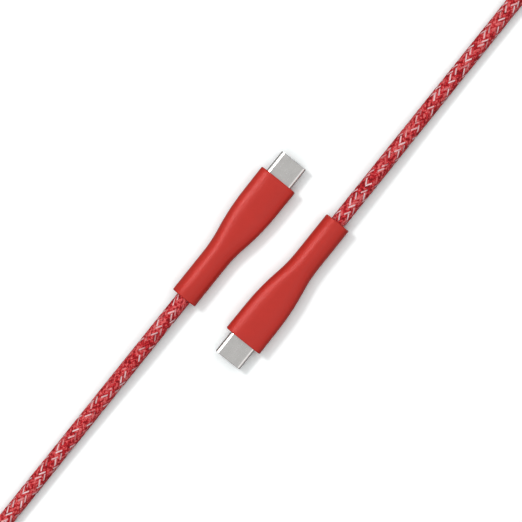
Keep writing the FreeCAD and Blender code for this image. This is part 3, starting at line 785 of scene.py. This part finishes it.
class CABLE_OT_mould_boots(bpy.types.Operator):
    """Mould the two soft boots: wide at the front, drawn in by an S-curve, slim to the rear"""
    bl_idname = "cable.mould_boots"
    bl_label = "Mould boots"

    def execute(self, context):
        boot = context.scene.cable_boot
        cord = context.scene.cable_cord
        material = self.soft_touch(boot)
        for end, place in plug_places().items():
            piece = self.one_boot(f"plug_{end}_soft_boot", boot, cord, place)
            piece.data.materials.append(material)
            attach(piece, "root")
            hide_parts(f"plug_{end}_boot")
        return {"FINISHED"}

    def one_boot(self, name, boot, cord, place):
        nose_pocket, cord_pocket = 0.0012, 0.0008  # how deep they are
        cord_gap = 0.00012
        front, slim, tall = boot.front_width / 2, boot.rear_width / 2, boot.height / 2
        shape = bmesh.new()
        ring = bmesh.ops.create_circle(shape, cap_ends=True, segments=72, radius=1.0)["verts"]
        bmesh.ops.transform(shape, verts=ring, matrix=ACROSS_X)
        face = ring[0].link_faces[0]
        last = (1.0, 1.0, 2.0)  # the circle's half width, half height and squareness
        for x, half in self.profile(boot):
            if x < 0:
                face = drawn_out(shape, face)
            slimmed = (front - half) / (front - slim)
            square = boot.squareness + (boot.rear_squareness - boot.squareness) * slimmed ** 2
            section = (half, tall, square)
            self.reshape(ring_of(face), x, last, section)
            last = section
        bmesh.ops.recalc_face_normals(shape, faces=shape.faces)
        self.break_edge(shape, 0.0, boot.face_break, segments=4)
        self.break_edge(shape, -boot.length, boot.rear_break, segments=3)
        self.open_end(shape, 0.0, -nose_pocket, self.nose_outline, boot.nose_gap)
        self.open_end(
            shape, -boot.length, cord_pocket, self.cord_outline, cord.diameter / 2 + cord_gap)
        bmesh.ops.recalc_face_normals(shape, faces=shape.faces)
        smooth_by_angle(shape, 40)
        bmesh.ops.transform(shape, verts=shape.verts, matrix=place)
        return new_piece(name, shape)

    def profile(self, boot):
        """Stations from the front to the rear with the half width there: taper, bulge, hollow."""
        wide, slim = boot.shoulder_width / 2, boot.rear_width / 2
        shoulder, waist, neck = -boot.front_run, -boot.waist_at, -boot.neck_at
        bulge, hollow = shoulder - waist, waist - neck
        slope = 2 * (wide - slim) / (bulge + hollow)
        bays = 14
        yield 0.0, boot.front_width / 2
        yield shoulder / 2, (boot.front_width / 2 + wide) / 2
        for k in range(bays + 1):
            run = bulge * k / bays
            yield shoulder - run, wide - slope * run * run / (2 * bulge)
        for k in range(bays - 1, -1, -1):
            run = hollow * k / bays
            yield neck + run, slim + slope * run * run / (2 * hollow)
        yield (neck - boot.length) / 2, slim
        yield -boot.length, slim

    def reshape(self, ring, x, old, new):
        """Move a ring to x, from one section to another: half width, half height, squareness."""
        power = old[2] / new[2]
        for vert in ring:
            across = min(abs(vert.co.y) / old[0], 1.0) ** power * new[0]
            up = min(abs(vert.co.z) / old[1], 1.0) ** power * new[1]
            vert.co = (x, math.copysign(across, vert.co.y), math.copysign(up, vert.co.z))

    def break_edge(self, shape, x, size, segments):
        edges = [edge for edge in shape.edges if lies_at(edge, x) and len(edge.link_faces) == 2]
        bmesh.ops.bevel(
            shape, geom=edges, offset=size, offset_type="OFFSET", affect="EDGES",
            segments=segments, profile=0.5, material=-1)

    def nose_outline(self, shape, gap):
        """A loop just round the plug shell: an oblong with almost wholly rounded ends."""
        wide, high = SHELL_WIDTH + 2 * gap, SHELL_HEIGHT + 2 * gap
        rounding = high / 2 * 0.998  # less than half the height, so that no two corners meet
        made = bmesh.ops.create_grid(shape, x_segments=1, y_segments=1, size=0.5)["verts"]
        bmesh.ops.transform(
            shape, verts=made, matrix=ACROSS_X @ Matrix.Diagonal((wide, high, 1, 1)))
        bmesh.ops.bevel(
            shape, geom=made, offset=rounding, offset_type="OFFSET", affect="VERTICES",
            segments=14, profile=0.5, material=-1)

    def cord_outline(self, shape, radius):
        """A loop just round the cord."""
        made = bmesh.ops.create_circle(shape, cap_ends=True, segments=72, radius=radius)["verts"]
        bmesh.ops.transform(shape, verts=made, matrix=ACROSS_X)

    def open_end(self, shape, x, depth, outline, size):
        """A pocket in an end face, which is filled up to the pocket's mouth and drawn inwards."""
        rim_width = 0.00012
        cap = max(
            (face for face in shape.faces if lies_at(face, x)), key=lambda face: face.calc_area())
        bmesh.ops.inset_region(shape, faces=[cap], thickness=rim_width, use_even_offset=True)
        rim = list(cap.edges)
        before = set(shape.faces)
        outline(shape, size)
        mouth = next(face for face in shape.faces if face not in before)
        for vert in ring_of(mouth):
            vert.co.x = x
        lip = list(mouth.edges)
        for vert in ring_of(drawn_out(shape, mouth)):
            vert.co.x = x + depth
        bmesh.ops.delete(shape, geom=[cap, mouth], context="FACES_ONLY")
        bmesh.ops.triangle_fill(shape, use_beauty=True, edges=rim + lip)

    def soft_touch(self, boot):
        """Matt soft-touch elastomer: a very fine even grain and faint clouding."""
        made = Finish("soft_touch_red")
        place = made.place()
        cloud = made.noise(place, scale=160.0, detail=3.0, roughness=0.55)
        grain = made.noise(place, scale=9000.0, detail=2.0, roughness=0.55)
        pore = made.noise(place, scale=2600.0, detail=2.0, roughness=0.5)
        tone = made.weigh((0.3, pore), (0.7, cloud))
        made.surface({
            "Base Color": made.ramp(tone, two_tones(boot.colour, 0.95, 1.05, 0.25, 0.75)),
            "Roughness": made.span(pore, 0.3, 0.7, 0.33, 0.39),
            "Specular IOR Level": 0.31,
        })
        made.bump(made.weigh((0.4, pore), (0.6, grain)), strength=0.25, distance=0.00002)
        return made.material


# Plug noses and what is inside the plugs

class CABLE_OT_finish_plugs(bpy.types.Operator):
    """Give the steel noses, the contacts and everything inside the plugs their finishes"""
    bl_idname = "cable.finish_plugs"
    bl_label = "Finish plugs"

    def execute(self, context):
        metal = context.scene.cable_metal
        gold = self.metal("contact_gold", metal.gold, 0.22, 0.06)
        spring = self.metal("spring_steel", tint(metal.steel, 0.92), 0.30, 0.05)
        can = self.metal("can_steel", tint(metal.steel, 0.85), 0.38, 0.06)
        finishes = {
            "shell": self.drawn_steel(metal),
            "contact_housing": self.plastic("housing_black", (0.012, 0.012, 0.013), 0.42),
            "upper_contacts": gold,
            "lower_contacts": gold,
            "latch": spring,
            "upper_ground_spring": spring,
            "lower_ground_spring": spring,
            "inner_mould": self.plastic("inner_mould_grey", (0.10, 0.10, 0.105), 0.5),
            "paddle_card": self.plastic("card_green", (0.010, 0.085, 0.035), 0.35),
            "bypass_capacitor": self.plastic("capacitor_buff", (0.30, 0.19, 0.10), 0.45),
            "upper_shield_can": can,
            "lower_shield_can": can,
            "crimp_ferrule": self.metal("ferrule_brass", (0.72, 0.52, 0.25), 0.34, 0.06),
            "shield_braid": self.metal("shield_copper", (0.78, 0.45, 0.32), 0.42, 0.10),
            "jacket_end": self.plastic("jacket_black", (0.02, 0.02, 0.021), 0.5),
            "sleeve_end": self.plastic("sleeve_red", (0.42, 0.02, 0.03), 0.75),
            "power_wire": self.plastic("wire_red", (0.50, 0.015, 0.012), 0.4),
            "ground_wire": self.plastic("wire_black", (0.012, 0.012, 0.012), 0.4),
            "data_plus_wire": self.plastic("wire_green", (0.02, 0.25, 0.06), 0.4),
            "data_minus_wire": self.plastic("wire_white", (0.75, 0.74, 0.70), 0.4),
            "control_wire": self.plastic("wire_blue", (0.02, 0.07, 0.42), 0.4),
        }
        for end in ("a", "b"):
            for part, finish in finishes.items():
                dress(f"plug_{end}_{part}", finish)
        return {"FINISHED"}

    def drawn_steel(self, metal):
        """Nickel-plated steel with fine drawing lines along the nose and a few rub marks."""
        made = Finish("plug_steel")
        line_size, rub_size = (0.0040, 0.00016, 0.00016), (0.0016, 0.00035, 0.0009)
        lines = made.noise(made.place(line_size, HEADING), scale=1.0, detail=3.0, roughness=0.6)
        rubs = made.noise(made.place(rub_size, HEADING), scale=1.0, detail=4.0, roughness=0.65)
        cloud = made.noise(made.place(), scale=420.0, detail=3.0, roughness=0.55)
        drawn = made.span(lines, 0.3, 0.7, 0.20, 0.27)
        rubbed = made.span(rubs, 0.55, 0.8, 0.0, 0.06)
        made.surface({
            "Base Color": made.ramp(cloud, two_tones(metal.steel, 0.96, 1.03)),
            "Metallic": 1.0,
            "Roughness": made.math("ADD", drawn, rubbed),
        })
        made.bump(made.weigh((0.3, rubs), (0.7, lines)), strength=0.02, distance=0.00001)
        return made.material

    def metal(self, name, colour, roughness, spread):
        made = Finish(name)
        place = made.place()
        cloud = made.noise(place, scale=900.0, detail=3.0, roughness=0.6)
        fine = made.noise(place, scale=7000.0, detail=2.0, roughness=0.6)
        made.surface({
            "Base Color": made.ramp(cloud, two_tones(colour, 0.93, 1.05)),
            "Metallic": 1.0,
            "Roughness": made.span(fine, 0.3, 0.7, roughness - spread, roughness + spread),
        })
        made.bump(fine, strength=0.15, distance=0.00001)
        return made.material

    def plastic(self, name, colour, roughness):
        made = Finish(name)
        place = made.place()
        cloud = made.noise(place, scale=700.0, detail=3.0, roughness=0.55)
        fine = made.noise(place, scale=6000.0, detail=2.0, roughness=0.55)
        made.surface({
            "Base Color": made.ramp(cloud, two_tones(colour, 0.88, 1.12)),
            "Roughness": made.span(fine, 0.3, 0.7, roughness - 0.05, roughness + 0.06),
        })
        made.bump(fine, strength=0.2, distance=0.00002)
        return made.material


# Sidebar and run

class CABLE_PT_panel(bpy.types.Panel):
    """The cable's sizes, colours and steps"""
    bl_idname = "CABLE_PT_panel"
    bl_label = "Charging cable"
    bl_space_type = "VIEW_3D"
    bl_region_type = "UI"
    bl_category = "Cable"

    def draw(self, context):
        layout = self.layout
        for settings in SETTINGS:
            group = getattr(context.scene, settings)
            column = layout.column(align=True)
            for name in group.bl_rna.properties.keys():
                if name not in ("rna_type", "name"):
                    column.prop(group, name)
        for step in STEPS:
            layout.operator(step.bl_idname)


SETTINGS = {
    "cable_stage": StageSettings, "cable_cord": CordSettings, "cable_boot": BootSettings,
    "cable_metal": MetalSettings,
}
STEPS = (
    CABLE_OT_set_stage, CABLE_OT_lay_cord, CABLE_OT_mould_boots, CABLE_OT_finish_plugs,
)
CLASSES = (*SETTINGS.values(), *STEPS, CABLE_PT_panel)


def register():
    for cls in CLASSES:
        bpy.utils.register_class(cls)
    for name, group in SETTINGS.items():
        setattr(bpy.types.Scene, name, bpy.props.PointerProperty(type=group))


def unregister():
    for name in SETTINGS:
        delattr(bpy.types.Scene, name)
    for cls in reversed(CLASSES):
        bpy.utils.unregister_class(cls)


def main():
    register()
    bpy.ops.cable.set_stage()
    bpy.ops.cable.lay_cord()
    bpy.ops.cable.mould_boots()
    bpy.ops.cable.finish_plugs()


if __name__ == "__main__":
    main()
